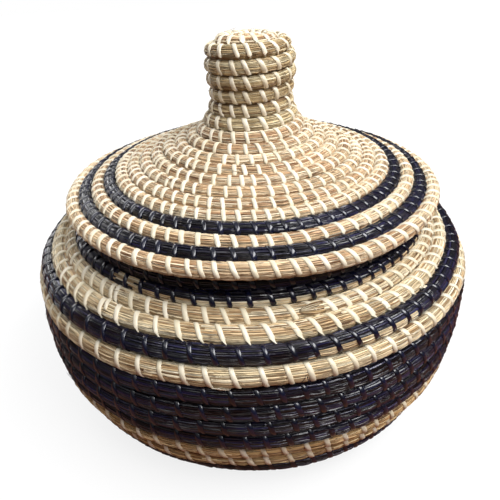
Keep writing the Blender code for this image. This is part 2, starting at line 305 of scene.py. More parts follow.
def strands(name, rings, spread, materials, face_material=None, smooth=True):
    """Closed strands as one piece. rings holds the points of each strand: ring by ring, round it.

    The UV map holds the way along in metres, up to spread's first, and round the strand in shares
    of spread's second, counted on by one from strand to strand.
    """
    count, stations, sides = rings.shape[:3]
    shape = bmesh.new()
    shape.loops.layers.uv.new("blades")
    bmesh.ops.create_grid(shape, x_segments=stations - 1, y_segments=sides, size=0.5, calc_uvs=True)
    mesh = bpy.data.meshes.new(name)
    shape.to_mesh(mesh)
    piece = bpy.data.objects.new(name, mesh)
    scene.collection.objects.link(piece)
    if count > 1:
        copies = piece.modifiers.new("copies", "ARRAY")
        copies.count = count
        copies.use_relative_offset = False
        bpy.context.view_layer.update()
        mesh = bpy.data.meshes.new_from_object(
            piece.evaluated_get(bpy.context.evaluated_depsgraph_get())
        )
        piece.modifiers.clear()
        piece.data = mesh
        mesh.name = name
    # The last side of each grid lies on its first, which closes the strand once they are merged
    closed = np.concatenate([rings, rings[:, :, :1]], axis=2).transpose(0, 2, 1, 3)
    mesh.vertices.foreach_set("co", closed.astype(np.float32).ravel())
    layer = mesh.uv_layers["blades"].uv
    places = np.zeros(len(layer) * 2, np.float32)
    layer.foreach_get("vector", places)
    places = places.reshape(count, -1, 2) * spread
    places[..., 1] += np.arange(count)[:, None]
    layer.foreach_set("vector", places.ravel())
    if face_material is not None:
        mesh.polygons.foreach_set("material_index", face_material.astype(np.int32).ravel())
    shape.clear()
    shape.from_mesh(mesh)
    bmesh.ops.remove_doubles(shape, verts=shape.verts, dist=1e-7)
    bmesh.ops.holes_fill(shape, edges=[edge for edge in shape.edges if edge.is_boundary], sides=0)
    bmesh.ops.recalc_face_normals(shape, faces=shape.faces)
    for face in shape.faces:
        face.smooth = smooth
    shape.to_mesh(mesh)
    shape.free()
    for material in materials:
        mesh.materials.append(material)
    return piece


def grass_bundle(node, sewing, first, last, blades, seed, materials, patches=()):
    """The bundle of one colour run: flat blades side by side, drawn in under every strip.

    blades are the numbers on the outside and on the inside. patches are where blades of the second
    material show: first and last turn, and lowest and highest angle round the row, 0 straight out.
    """
    coil = sewing.coil
    random = np.random.default_rng(seed)
    under_neighbour = 0.0012
    start = max(coil.length_at(first) - under_neighbour, 0.0)
    end = coil.length_at(last) + (0.0 if last >= coil.turns else under_neighbour)
    # Sections stand 3.4 mm apart, and closer where the coil is tight
    closest, widest, of_radius, fine_count = 0.0010, 0.0034, 0.35, 4000
    fine = np.linspace(start, end, fine_count)
    radius = coil.radius_at(coil.turn_at(fine))
    steps = np.cumsum((end - start) / fine_count / np.clip(radius * of_radius, closest, widest))
    length = np.interp(np.linspace(steps[0], steps[-1], int(steps[-1]) + 2), steps, fine)
    turn = coil.turn_at(length)
    along = length - start

    # Blades of unlike width that wander a little round the row, as shares of a blade's width
    uneven, wander, flank = 0.26, 0.20, 0.24
    outside, inside = blades
    count = outside + inside
    edges = np.concatenate([
        -math.pi / 2 + np.arange(outside) * math.pi / outside,
        math.pi / 2 + np.arange(inside) * math.pi / inside,
    ])
    edges = edges + random.uniform(-uneven, uneven, count) * math.pi / outside
    edges = edges + hand_wander(random, count, along, 0.30, 0.05) * wander * math.pi / outside
    nexts = np.concatenate([edges[:, 1:], edges[:, :1] + math.tau], axis=1)
    width = nexts - edges
    phi = np.stack([edges, edges + width * flank, edges + width * (1.0 - flank)], axis=2)
    phi = phi.reshape(len(turn), count * 3)
    # The grooves between blades are 0.4 mm deep, and each blade lies higher or lower and tilts
    low = -0.00042 + hand_wander(random, count, along, 0.20, 0.04) * 0.00012
    high = 0.00010 + hand_wander(random, count, along, 0.26, 0.04) * 0.00018
    tilt = hand_wander(random, count, along, 0.26, 0.05) * 0.00014
    relief = np.stack([low, high + tilt, high - tilt], axis=2).reshape(len(turn), count * 3)

    turns = np.repeat(turn[:, None], count * 3, axis=1)
    lengths = np.repeat(length[:, None], count * 3, axis=1)
    half = coil.half_row(turns)
    thin_row = 0.003
    relief = relief * np.minimum(half / thin_row, 1.0)
    # Between strips the bundle bulges, and under one it draws in and its blades lie flatter
    bulge, draw_in, flatten = 0.030, 0.085, 0.55
    pinch = sewing.pinch(turns, lengths, phi)
    lift = relief * (1.0 - flatten * pinch) + half * (bulge - draw_in * pinch)
    # The bundle draws in where its colour ends
    last_bit, drawn_in = 0.003, 0.30
    near_end = np.minimum(lengths - start, end - lengths) / last_bit
    lift = lift - half * drawn_in * (1.0 - np.clip(near_end, 0.0, 1.0))
    points = row_skin(coil, turns, phi, lift)
    off_floor = 0.0003
    points[..., 2] = np.maximum(points[..., 2], off_floor)
    middle = np.degrees((edges[:-1] + edges[1:] + width[:-1]) / 2) % 360.0
    ragged = turn[:-1, None] + random.uniform(-0.0040, 0.0040, (1, count))
    second = np.zeros(middle.shape, int)
    for start_turn, end_turn, lowest, highest in patches:
        there = (ragged > start_turn) & (ragged < end_turn)
        second[there & ((middle - lowest) % 360.0 < highest - lowest)] = 1
    face_material = np.repeat(second, 3, axis=1).T
    # Blades are flat ribbons, and each catches the light by its own tilt, so they aren't smoothed
    return strands(
        node + "_grass", points[None], (along[-1], count), materials, face_material, smooth=False
    )


def out_of_row(coil, turn, phi):
    """The way straight out of a row's skin."""
    _, to_next, out = coil.frame_at(turn)
    return out * np.cos(phi)[..., None] + to_next * np.sin(phi)[..., None]


def strand_rings(path, normal, half_width, height, ring):
    """Rings of a section along paths. ring holds it in half widths across and heights up."""
    ahead = np.gradient(path, axis=1)
    ahead = ahead / np.linalg.norm(ahead, axis=-1, keepdims=True)
    normal = normal - ahead * (normal * ahead).sum(axis=-1, keepdims=True)
    normal = normal / np.linalg.norm(normal, axis=-1, keepdims=True)
    side = np.cross(normal, ahead)
    ring = np.array(ring)
    across = (np.asarray(half_width)[..., None] * ring[:, 0])[..., None]
    rise = (np.asarray(height)[..., None] * ring[:, 1])[..., None]
    return path[:, :, None] + side[:, :, None] * across + normal[:, :, None] * rise


# A strip's section, from its left edge over its crown to its underside, and a blade's
STRIP_RING = [(-1.0, 0.12), (-0.80, 0.86), (0.0, 1.0), (0.80, 0.86), (1.0, 0.12), (0.0, -0.30)]
BLADE_RING = [(-1.0, 0.0), (0.0, 1.0), (1.0, 0.0), (0.0, -1.0)]
FLOOR_GAP = 0.00005


def sewn_strips(node, sewing, first, last, width, seed, material):
    """The strips of one run: over the outside of the row into its neighbour, and up its inside."""
    coil = sewing.coil
    random = np.random.default_rng(seed + 500)
    chosen = (sewing.turns >= first) & (sewing.turns < last)
    turn = sewing.turns[chosen][:, None]
    gap = sewing.gaps[chosen][:, None]
    count = len(turn)
    radius = coil.radius_at(turn)
    half = coil.half_row(turn)
    thickness, tightest, far_round, inside_swing = 0.00085, 0.006, 2.2, 0.3
    # Strips press into the bundle, and their ends dive under its skin
    pressed_in, clear, start_dive, end_dive = 0.050, 0.00004, 0.0007, 0.0005
    lean_change = random.normal(0.0, 0.0006, (count, 1))
    side_change = random.uniform(-0.0004, 0.0004, (count, 1))
    widths = width * random.uniform(0.86, 1.10, (count, 1))
    thick = thickness * random.uniform(0.85, 1.15, (count, 1))
    outer_angles = np.radians([-100.0, -82.0, -62.0, -36.0, -6.0, 26.0, 54.0, 78.0, 90.0])
    inner_angles = np.radians([-97.0, -125.0, -165.0, -205.0, -250.0])
    for part, angles in (("", outer_angles), ("_inside", inner_angles)):
        phi = np.repeat(coil.held * angles[None, :], count, axis=0)
        swing = np.clip(phi, -far_round, far_round) / math.pi * (inside_swing if part else 1.0)
        place = turn + (sewing.shift(turn, phi, gap) + side_change + lean_change * swing) / (
            math.tau * np.maximum(radius, tightest)
        )
        lift = np.repeat(clear - half * pressed_in, len(angles), axis=1)
        lift[:, 0] -= start_dive
        if part:
            lift[:, -1] -= end_dive
        path = row_skin(coil, place, phi, lift)
        normal = out_of_row(coil, place, phi)
        if not part:
            # The last points cross the groove and end in the near edge of the neighbour row
            into = place[:, -2:] + coil.held
            entry = np.repeat(coil.held * np.radians([[-90.0, -92.0]]), count, axis=0)
            entry_lift = np.repeat(np.array([[-0.0001, -0.0013]]), count, axis=0)
            held = row_skin(coil, into, entry, entry_lift)
            held_normal = out_of_row(coil, into, entry)
            there = ((into > -0.7) & (into < coil.turns))[..., None]
            path[:, -2:] = np.where(there, held, path[:, -2:])
            normal[:, -2:] = np.where(there, held_normal, normal[:, -2:])
        narrowing = np.ones(len(angles))
        narrowing[0] = 0.82
        narrowing[-2:] = (0.95, 0.8) if part else (0.97, 0.90)
        rings = strand_rings(path, normal, widths / 2 * narrowing, thick, STRIP_RING)
        rings[..., 2] = np.maximum(rings[..., 2], FLOOR_GAP)
        # A stitch is about 12 mm long
        yield strands(node + "_strips" + part, rings, (0.012, 0.98), [material])


def loose_fibres(node, sewing, first, last, seed, material):
    """Ends of blades that have worked loose, one for each 50 mm of row, lifted at one end."""
    coil = sewing.coil
    random = np.random.default_rng(seed + 900)
    apart, first_turn, tightest = 0.050, 0.6, 0.012
    count = int((coil.length_at(last) - coil.length_at(first)) / apart) + 2
    start, end = coil.length_at(max(first, first_turn)), coil.length_at(last - 0.01)
    turn = coil.turn_at(random.uniform(start, end, (count, 1)))
    radius = np.maximum(coil.radius_at(turn), tightest)
    share = np.linspace(0.0, 1.0, 7)[None, :]
    # 7 to 20 mm long, lifted by up to 1.6 mm, and 0.24 to 0.52 mm wide
    reach = random.uniform(0.007, 0.020, (count, 1)) * random.choice([-1.0, 1.0], (count, 1))
    place = turn + reach * share / (math.tau * radius)
    phi = random.uniform(-65.0, 65.0, (count, 1)) + random.normal(0.0, 14.0, (count, 1)) * share
    phi = np.radians(phi)
    lift = 0.0003 + random.uniform(0.0, 0.0016, (count, 1)) * share**2.5
    path = row_skin(coil, place, phi, lift)
    width = random.uniform(0.00012, 0.00026, (count, 1)) * np.array([0.4, 1, 1, 1, 1, 0.9, 0.3])
    rings = strand_rings(path, out_of_row(coil, place, phi), width, width * 0.7, BLADE_RING)
    rings[..., 2] = np.maximum(rings[..., 2], FLOOR_GAP)
    return strands(node + "_fibres", rings, (0.02, 0.98), [material])


def linear(code):
    """A colour written as sRGB hex, in the linear values that a shader takes."""
    parts = [int(code[place:place + 2], 16) / 255 for place in (1, 3, 5)]
    return [p / 12.92 if p <= 0.04045 else ((p + 0.055) / 1.055) ** 2.4 for p in parts] + [1.0]


def feed(tree, node, inputs):
    """Gives inputs their values, or what feeds them: a socket, or a node's first output."""
    for name, source in inputs:
        if isinstance(source, bpy.types.Node):
            source = source.outputs[0]
        if isinstance(source, bpy.types.NodeSocket):
            tree.links.new(source, node.inputs[name])
        else:
            node.inputs[name].default_value = source


def add_node(tree, kind, inputs=(), stops=(), **settings):
    """A shader node with its settings, its inputs and its colour ramp."""
    node = tree.nodes.new("ShaderNode" + kind)
    for name, value in settings.items():
        setattr(node, name, value)
    feed(tree, node, inputs)
    for number, (position, colour) in enumerate(stops):
        ramp = node.color_ramp.elements
        element = ramp[number] if number < 2 else ramp.new(position)
        element.position = position
        element.color = colour
    return node


def new_material(name):
    material = bpy.data.materials.new(name)
    material.use_nodes = True
    return material, material.node_tree, material.node_tree.nodes["Principled BSDF"]


def grass_material(
    name, tones, worn, patch=0.40, crack_and_gap_shade=0.95, roughness=0.55, gloss=0.4, relief=0.8
):
    """Dried grass: every blade has its own tone, dark lines part them, fine fibres run along.

    tones are the colours from the darkest to the palest blades by their place on the ramp. worn
    is the colour of bleached or rubbed patches, patch how strong they are, and crack_and_gap_shade
    how dark the lines are: partly the blades' own dark edges and splits, partly painted shade.
    """
    colours = [(position, linear(code)) for position, code in tones.items()]
    material, tree, shader = new_material(name)
    spot = add_node(tree, "UVMap", uv_map="blades")
    parts = add_node(tree, "SeparateXYZ", [("Vector", spot)])
    run, count = parts.outputs[0], parts.outputs[1]
    # A blade keeps its tone for about 60 mm, then the next one takes its place
    tones_per_metre = 16.0
    blade = add_node(tree, "Math", [(0, count)], operation="FLOOR")
    start = add_node(tree, "TexWhiteNoise", [("W", blade)], noise_dimensions="1D")
    piece = add_node(
        tree, "Math", [(0, run), (1, tones_per_metre), (2, start.outputs["Value"])],
        operation="MULTIPLY_ADD",
    )
    piece = add_node(tree, "Math", [(0, piece)], operation="FLOOR")
    pair = add_node(tree, "CombineXYZ", [("X", blade), ("Y", piece)])
    own = add_node(tree, "TexWhiteNoise", [("Vector", pair)], noise_dimensions="2D")

    def along_row(per_metre, per_blade, detail):
        """Noise drawn out along the row."""
        drawn_out = add_node(
            tree, "VectorMath", [(0, spot), (1, (per_metre, per_blade, 1.0))], operation="MULTIPLY"
        )
        return add_node(
            tree, "TexNoise",
            [("Vector", drawn_out), ("Scale", 1.0), ("Detail", detail)],
            noise_dimensions="2D",
        ).outputs["Fac"]

    # Real fibres are finer than 0.1 mm. To show, they are drawn two to a blade, 0.5 mm apart
    fibre = along_row(42.0, 2.0, 3.0)
    tone = add_node(tree, "Mix", [("Factor", 0.45), (2, own.outputs["Value"]), (3, fibre)])
    colour = add_node(tree, "ValToRGB", [("Fac", tone)], colours)
    # Patches about 22 mm across where the grass is more worn or sun-bleached
    patches_per_metre = 45.0
    place = add_node(tree, "TexCoord")
    area = add_node(
        tree, "TexNoise",
        [("Vector", place.outputs["Object"]), ("Scale", patches_per_metre), ("Detail", 2.0)],
    )
    amount = add_node(
        tree, "MapRange",
        [("Value", area.outputs["Fac"]), ("From Min", 0.46), ("From Max", 0.70), ("To Max", patch)],
    )
    patched = add_node(
        tree, "Mix", [("Factor", amount), ("A", colour), ("B", linear(worn))], data_type="RGBA"
    )
    # Dark lines between the blades, broken off every 30 mm or so: partly the blades' own dark
    # edges, partly painted shade in the gaps between them
    share = add_node(tree, "Math", [(0, count)], operation="FRACT")
    middle = add_node(tree, "Math", [(0, share), (1, 0.5)], operation="SUBTRACT")
    apart = add_node(tree, "Math", [(0, middle)], operation="ABSOLUTE")
    edge = add_node(
        tree, "MapRange",
        [("Value", apart), ("From Min", 0.34), ("From Max", 0.48), ("To Max", 1.0)],
    )
    kept = add_node(
        tree, "MapRange",
        [("Value", along_row(32.0, 1.3, 1.0)), ("From Min", 0.38), ("From Max", 0.60)],
    )
    between = add_node(tree, "Math", [(0, edge), (1, kept)], operation="MULTIPLY")
    # Cracks within the blades, about 20 mm long, where a noise crosses its middle: splits in the
    # blades, darkened with painted shade
    off = add_node(tree, "Math", [(0, along_row(45.0, 1.8, 1.0)), (1, 0.5)], operation="SUBTRACT")
    off = add_node(tree, "Math", [(0, off)], operation="ABSOLUTE")
    within = add_node(
        tree, "MapRange",
        [("Value", off), ("From Min", 0.0), ("From Max", 0.050), ("To Min", 0.90),
         ("To Max", 0.0)],
    )
    lines = add_node(tree, "Math", [(0, between), (1, within)], operation="MAXIMUM")
    # The lines take the darkest tone: partly the blades' own colour, partly painted shade
    dark = add_node(tree, "Math", [(0, lines), (1, crack_and_gap_shade)], operation="MULTIPLY")
    final = add_node(
        tree, "Mix",
        [("Factor", dark), ("A", patched.outputs[2]), ("B", colours[0][1])],
        data_type="RGBA",
    )
    height = add_node(tree, "Math", [(0, fibre), (1, lines)], operation="SUBTRACT")
    bump = add_node(tree, "Bump", [("Strength", relief), ("Distance", 0.0005), ("Height", height)])
    rough = add_node(
        tree, "MapRange",
        [("Value", own.outputs["Value"]), ("To Min", roughness - 0.10),
         ("To Max", roughness + 0.12)],
    )
    feed(tree, shader, [
        ("Base Color", final.outputs[2]), ("Roughness", rough), ("Normal", bump),
        ("Specular IOR Level", gloss),
    ])
    return material


def strip_material(name, low, high, roughness, gloss, coat):
    """Flat plastic strip: a tone of its own for every stitch, faint draw lines along it."""
    material, tree, shader = new_material(name)
    spot = add_node(tree, "UVMap", uv_map="blades")
    parts = add_node(tree, "SeparateXYZ", [("Vector", spot)])
    number = add_node(tree, "Math", [(0, parts.outputs[1])], operation="FLOOR")
    own = add_node(tree, "TexWhiteNoise", [("W", number)], noise_dimensions="1D")
    # Draw lines are finer than 0.1 mm. Seven are drawn across a strip 3 mm wide, so that they show
    stretched = add_node(
        tree, "VectorMath", [(0, spot), (1, (60.0, 7.0, 1.0))], operation="MULTIPLY"
    )
    lines = add_node(
        tree, "TexNoise",
        [("Vector", stretched), ("Scale", 1.0), ("Detail", 2.0)], noise_dimensions="2D",
    )
    tone = add_node(
        tree, "Mix", [("Factor", 0.45), (2, own.outputs["Value"]), (3, lines.outputs["Fac"])]
    )
    colour = add_node(
        tree, "ValToRGB", [("Fac", tone)], [(0.15, linear(low)), (0.75, linear(high))]
    )
    bump = add_node(
        tree, "Bump", [("Strength", 0.25), ("Distance", 0.0002), ("Height", lines.outputs["Fac"])]
    )
    feed(tree, shader, [
        ("Base Color", colour), ("Normal", bump), ("Roughness", roughness),
        ("Specular IOR Level", gloss), ("Coat Weight", coat), ("Coat Roughness", 0.12),
    ])
    return material


# Grass cut and dried in the sun: pale straw blades, matt, with a soft sheen and brown gaps,
# partly painted shade
straw_grass = grass_material(
    "pale_dried_grass",
    {0.16: "#5f4126", 0.32: "#c09d72", 0.50: "#e3cba1", 0.74: "#f5e9cd"}, worn="#ecdfbb",
)
# Drawn plastic strip in cream: smoother and paler than the grass, and half glossy
cream_strip = strip_material(
    "cream_plastic_strip", "#dbcfb2", "#eae1cd", roughness=0.42, gloss=0.5, coat=0.1
)


def sew_run(node, body, sewing, rows, blades, seed, grass, sewn, width=0.0031, patches=()):
    """Replaces a CAD coil by its bundle, its strips and its loose fibres.

    rows count from the coil's end. A run without a second number starts with the coil. sewn holds
    the strip's material, and names for slots of the grass and of the strip, which are not used.
    """
    strip, grass_slot, strip_slot = sewn
    last = sewing.coil.turns - rows[0]
    first = -0.85 if rows[1] is None else sewing.coil.turns - rows[1]
    bundle = grass_bundle(node, sewing, first, last, blades, seed, grass, patches)
    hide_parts(node)
    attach(bundle, body)
    for strips in sewn_strips(node, sewing, first, last, width, seed, strip):
        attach(strips, body)
    fibres = loose_fibres(node, sewing, first, last, seed, grass[0])
    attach(fibres, body)


IN_CREAM = (cream_strip, "natural_grass", "cream_strip")
sew_run(
    "base_coil", "basket", basket_sewing, rows=(16, None), blades=(15, 9), width=0.0030, seed=1,
    grass=[straw_grass], sewn=IN_CREAM,
)


# Foot: three rows that turn the base up into the wall, of the same grass dyed navy. The bundle
# goes on from the base's own, and navy plastic strip sews it from here.
# Navy-dyed grass: nearly black blades with a blue cast, rubbed to brown in patches
navy_grass = grass_material(
    "navy_dyed_grass",
    {0.26: "#020205", 0.44: "#07071a", 0.60: "#100f2e", 0.80: "#24214c"}, worn="#20120f",
    patch=0.5, roughness=0.40, gloss=0.2, relief=1.0,
)
# The dye lies on the blades like a thin lacquer, which draws sharp white streaks along them
navy_tree = navy_grass.node_tree
navy_shader = navy_tree.nodes["Principled BSDF"]
grass_bump = navy_shader.inputs["Normal"].links[0].from_node
lacquer_bump = add_node(
    navy_tree, "Bump",
    [("Strength", 0.30), ("Distance", 0.0005),
     ("Height", grass_bump.inputs["Height"].links[0].from_socket)],
)
feed(navy_tree, navy_shader, [
    ("Coat Weight", 0.85), ("Coat Roughness", 0.12), ("Coat Normal", lacquer_bump),
])
# Drawn plastic strip in navy: glossy, so that every stitch has a small white glint on its crown
navy_strip = strip_material(
    "navy_plastic_strip", "#050612", "#0e1129", roughness=0.24, gloss=0.6, coat=0.35
)
IN_NAVY = (navy_strip, "navy_grass", "navy_strip")
sew_run(
    "foot_navy_coil", "basket", basket_sewing, rows=(13, 16), blades=(16, 9), seed=2,
    grass=[navy_grass], sewn=IN_NAVY,
)


# Lower wall: two rows of natural grass that lean out above the foot, browner than the rest:
# painted shade and painted warm light thrown up from the floor. Each row is sewn to the one
# below with cream strip.
# Straw with painted shade and painted warm floor light: tan blades with the same soft sheen
lower_wall_shaded_grass = grass_material(
    "dried_grass_painted_warm_shade",
    {0.16: "#523218", 0.32: "#ab8154", 0.50: "#d3ad78", 0.74: "#e9d1a4"}, worn="#dcc08d",
)
sew_run(
    "lower_natural_coil", "basket", basket_sewing, rows=(11, 13), blades=(16, 9), seed=3,
    grass=[lower_wall_shaded_grass], sewn=IN_CREAM,
)


# Belly, lower part: four rows of navy-dyed grass that reach up to the widest place, sewn with navy
# strip. A few undyed blades show through in the grooves of the upper rows.
sew_run(
    "belly_navy_coil", "basket", basket_sewing, rows=(7, 11), blades=(16, 9), seed=4,
    grass=[navy_grass, straw_grass], sewn=IN_NAVY,
    patches=[(17.739, 17.753, -90, -58), (17.653, 17.666, -90, -60), (16.618, 16.632, -88, -62)],
)


# Belly, upper part: one row of natural grass at the widest place, sewn with cream strip. One of
# its stitches has frayed, and a navy fibre has been caught beside another.
sew_run(
    "belly_natural_coil", "basket", basket_sewing, rows=(6, 7), blades=(16, 9), seed=5,
    grass=[straw_grass], sewn=IN_CREAM,
)


def lay_strands(
    name, turn, phi, lift, half_width, height, ring, length, materials, faces=None
):
    """Strands laid on the basket's rows by turn, degrees round the row and lift off it."""
    turn, phi = np.array(turn), np.radians(phi)
    path = row_skin(basket, turn, phi, lift)
    rings = strand_rings(path, out_of_row(basket, turn, phi), half_width, height, ring)
    piece = strands(name, rings, (length, 0.98), materials, faces)
    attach(piece, "basket")


# The frayed end has split into seven fibres that point to the right
frayed_at, fibre_count = 18.7276, 7
torn = basket_sewing.turns[np.abs(basket_sewing.turns - frayed_at).argmin()]
share = np.linspace(0.0, 1.0, 7)[None, :]
fray = np.linspace(-1.0, 1.0, fibre_count)[:, None]
fray_width = 0.00026 * np.array([1.0, 1.0, 1.0, 0.9, 0.8, 0.7, 0.4])
lay_strands(
    "belly_frayed_stitch",
    turn=torn + 0.0022 + share * (0.0080 + 0.0022 * np.cos(fray * 2.6)),
    phi=-34.0 + share * (-16.0 + 15.0 * fray),
    lift=0.0010 + 0.0007 * np.sin(share * 3.0 + fray) * share,
    half_width=fray_width, height=fray_width * 0.7, ring=BLADE_RING, length=0.01,
    materials=[cream_strip],
)
# The thin navy fibre comes from the row below and loops up beside a stitch further right
loop_at = 18.7751
lay_strands(
    "belly_loop_fibre",
    turn=loop_at + np.array([[-0.0018, -0.0012, 0.0002, 0.0012, 0.0019, 0.0026, 0.0042, 0.0060]]),
    phi=[[-72.0, -40.0, -4.0, 12.0, 2.0, -22.0, -52.0, -76.0]],
    lift=np.array([[-0.0004, 0.0009, 0.0014, 0.0016, 0.0016, 0.0012, 0.0008, -0.0004]]),
    half_width=0.00022, height=0.00022, ring=BLADE_RING, length=0.01,
    materials=[navy_grass],
)


# Shoulder, dark row: one row of navy-dyed grass where the wall turns in, sewn with navy strip.
# Undyed blades show low on its right front side.
sew_run(
    "shoulder_navy_coil", "basket", basket_sewing, rows=(5, 6), blades=(16, 9), seed=6,
    grass=[navy_grass, straw_grass], sewn=IN_NAVY,
    patches=[(19.780, 19.853, -78, -14)],
)


# Shoulder, light rows: two rows of natural grass that slope in to the neck, sewn with cream strip.
# A bundle ends in the upper one, a long stitch mends the left, and cut strip ends stick out right.
sew_run(
    "shoulder_natural_coil", "basket", basket_sewing, rows=(3, 5), blades=(16, 9), seed=7,
    grass=[straw_grass], sewn=IN_CREAM,
)
# Grass at the bundle's cut end: dark brown, partly its own colour and partly painted shade in the
# gaps, with pale streaks left
bundle_end_shade_grass = grass_material(
    "bundle_end_grass_painted_shade",
    {0.16: "#1f120a", 0.40: "#6a4526", 0.62: "#a67f4f", 0.85: "#dcc49a"}, worn="#c9ae80",
    patch=0.2, crack_and_gap_shade=1.0, roughness=0.6, gloss=0.3, relief=1.0,
)
# The bundle's end fans out from a pinched tip: dark blades lie under the pale ones and show in
# the gaps between them as painted shade
tip_at, fan_reach, dark_blades, pale_blades = 21.7804, 0.0170, 7, 8
share = np.linspace(0.0, 1.0, 8)[None, :]
fan_out = np.concatenate(
    [np.linspace(-0.85, 0.85, dark_blades), np.linspace(-1.0, 1.0, pale_blades)]
)[:, None]
uneven = np.random.default_rng(77).uniform(-1.0, 1.0, (dark_blades + pale_blades, 1))
on_top = np.repeat([[0.0], [1.0]], [dark_blades, pale_blades], axis=0)
fan_width = (0.00062 - 0.00040 * on_top) * np.array([0.75, 1.0, 1.0, 1.0, 1.0, 1.0, 1.0, 0.9])
lay_strands(
    "shoulder_bundle_end",
    turn=tip_at + 0.0005 * uneven + share * fan_reach,
    phi=-8.0 + fan_out * (6.0 + 34.0 * share**0.7) + 3.0 * uneven * np.sin(share * math.pi),
    lift=(0.0007 + 0.0005 * on_top) * np.sin(math.pi * share**0.55) + 0.0002 * uneven,
    half_width=fan_width, height=0.0003, ring=BLADE_RING, length=0.012,
    materials=[bundle_end_shade_grass, straw_grass],
    faces=np.repeat(on_top.astype(int), (share.size - 1) * len(BLADE_RING), axis=1),
)
# The long mending stitch reaches over both rows, and tapers to its lower end
lay_strands(
    "shoulder_long_stitch",
    turn=[[21.6393, 21.6402, 21.6411, 21.6420, 21.6429, 21.6440, 21.6449,
           20.6452, 20.6460, 20.6474, 20.6493, 20.6497]],
    phi=[[62.0, 42.0, 20.0, 0.0, -20.0, -45.0, -66.0, 70.0, 48.0, 18.0, -12.0, -20.0]],
    lift=np.array([[-0.0006, 0.0, 0.0002, 0.0003, 0.0003, 0.0003, 0.0006,
                    0.0006, 0.0004, 0.0002, 0.0001, -0.0008]]),
    half_width=0.0014 * np.array([0.8, 1, 1, 1, 1, 1, 1, 0.95, 0.9, 0.85, 0.75, 0.6]),
    height=0.0009, ring=STRIP_RING, length=0.02,
    materials=[cream_strip],
)
# The two cut ends of strip come out of the groove below the lower row
lay_strands(
    "shoulder_strip_ends",
    turn=[[20.8727, 20.8731, 20.8736, 19.8738, 19.8742],
          [20.8747, 20.8750, 20.8753, 19.8756, 19.8759]],
    phi=[[-52.0, -64.0, -76.0, 70.0, 56.0]] * 2,
    lift=np.array([[-0.0004, 0.0006, 0.0012, 0.0010, 0.0009]] * 2),
    half_width=0.0007 * np.array([0.9, 1.0, 1.0, 1.0, 0.8]), height=0.0006, ring=STRIP_RING,
    length=0.006, materials=[cream_strip],
)


# Neck: one row in which navy and natural blades lie side by side, navy above and natural below in
# front. It is sewn with navy strip, which crosses both.
sew_run(
    "neck_coil", "basket", basket_sewing, rows=(2, 3), blades=(15, 9), seed=8,
    grass=[navy_grass, straw_grass], sewn=IN_NAVY,
    patches=[(22.655, 23.12, -178, -14), (22.634, 22.659, -25, 42), (22.30, 22.42, -170, -20)],
)


# Mouth: two rows of navy-dyed grass that stand up under the lid, sewn with navy strip. The last
# one thins out and closes on the row below it.
sew_run(
    "mouth_navy_coil", "basket", basket_sewing, rows=(0, 2), blades=(14, 8), seed=9,
    grass=[navy_grass], sewn=IN_NAVY,
)


# Lid, rim: one thick row of natural grass, the last of the lid's own coil, sewn with cream strip.
# That coil starts in the middle of the knob's top and winds out clockwise to this row. The lid
# rests on the mouth, a little right of the basket's axis.
cone_row, rim_row = 0.0089, 0.0097
flare_place = (0.0300, -0.0530)
rim_place = (0.1252, -0.0945)
lid = Coil(
    [
        (0.0130, 0.0),
        (0.0236, -0.0045),
        (0.0246, -0.0135),
        (0.0236, -0.0400),
        flare_place,
        place_between(flare_place, rim_place, 0.341, 0.422),
        place_between(flare_place, rim_place, 0.740, 0.776),
        rim_place,
    ],
    wide=cone_row, last=rim_row, change=rim_row, direction=-1.0, side=-1.0, held=1,
    origin=(0.003625, 0.0, 0.24133),
)
# Rows are counted from the rim up: stitches stand closest on the cone and on the knob's top
lid_sewing = Sewing(
    lid,
    spacing=(
        [0, 1.5, 2.5, 3.5, 4.5, 6, 11, 12.5, 17, 18.5, 20],
        [0.0085, 0.0086, 0.0092, 0.0080, 0.0074, 0.0077, 0.0079, 0.0092, 0.0090, 0.0060, 0.0052],
    ),
    lean=(
        [0, 1, 2, 4, 5, 11, 12, 18, 20],
        [0.0050, 0.0048, 0.0044, 0.0038, 0.0030, 0.0030, 0.0040, 0.0042, 0.0018],
    ),
    drift=([0, 20], [0.03, 0.03]), seed=11,
)
# Dried grass of the lid: a little browner than the basket's straw, and as matt
natural_grass = grass_material(
    "natural_dried_grass",
    {0.16: "#654328", 0.32: "#c49b73", 0.50: "#e2c49b", 0.74: "#f3e2c4"}, worn="#ecd8b3",
)
sew_run(
    "lid_rim_coil", "lid", lid_sewing, rows=(0, 1), blades=(15, 9), seed=10,
    grass=[natural_grass], sewn=IN_CREAM,
)


# Lid, outer dark ring: one row of navy-dyed grass next to the rim, its stitches of navy strip
# caught in the rim row.
sew_run(
    "lid_outer_navy_coil", "lid", lid_sewing, rows=(1, 2), blades=(14, 8), width=0.0030, seed=11,
    grass=[navy_grass], sewn=IN_NAVY,
)


# Lid, band: one row of natural grass between the dark rings, its stitches of cream strip caught
# in the outer ring.
sew_run(
    "lid_band_natural_coil", "lid", lid_sewing, rows=(2, 3), blades=(14, 8), width=0.0030, seed=12,
    grass=[natural_grass], sewn=IN_CREAM,
)


# Lid, inner dark ring: one row of navy-dyed grass, its stitches of navy strip caught in the band.
# The colour changes at the back, as in all rings.
sew_run(
    "lid_inner_navy_coil", "lid", lid_sewing, rows=(3, 4), blades=(14, 8), width=0.0030, seed=13,
    grass=[navy_grass], sewn=IN_NAVY,
)


# Lid, cone: eight rows of natural grass that rise to the knob, sewn with cream strip a little
# narrower than elsewhere. The stitches stand in lines from row to row.
sew_run(
    "lid_cone_coil", "lid", lid_sewing, rows=(4, 12), blades=(14, 8), width=0.0027, seed=14,
    grass=[natural_grass], sewn=IN_CREAM,
)


